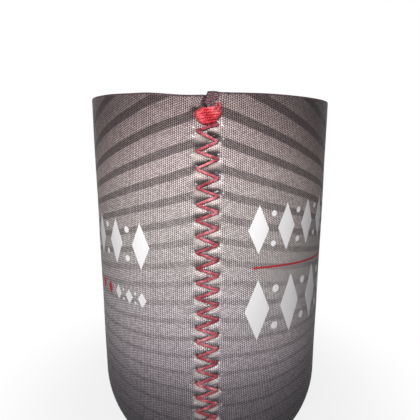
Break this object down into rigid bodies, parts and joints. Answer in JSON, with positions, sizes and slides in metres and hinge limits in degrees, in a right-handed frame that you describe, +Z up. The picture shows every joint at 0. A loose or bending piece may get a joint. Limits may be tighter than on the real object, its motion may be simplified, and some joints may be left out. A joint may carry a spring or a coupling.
{
  "type": "can cooler sleeve",
  "caption": "Soft round sleeve of foam laminate, open at the top, with zigzag stitched side seams and a glued foam base; keeps a drink can cold.",
  "frame": {"origin": "centre of the bottom, on the plane that the sleeve rests on", "axes": "+Z up along the sleeve's axis to its open rim, -Y towards the front seam, +X across it"},
  "size_m": [0.0738, 0.075, 0.1039],
  "materials": {
    "knit_laminate": "heathered warm grey knit over black foam, with darker printed stripes",
    "base_laminate": "matt black knit over black foam",
    "seam_thread": "red twisted polyester thread, slight sheen"
  },
  "bodies": {
    "root": {"panel_left": "knit_laminate", "panel_right": "knit_laminate", "base_disc": "base_laminate", "front_needle_thread": "seam_thread", "front_bobbin_thread": "seam_thread", "back_needle_thread": "seam_thread", "back_bobbin_thread": "seam_thread", "front_bar_tack": "seam_thread", "back_bar_tack": "seam_thread"}
  },
  "joints": []
}
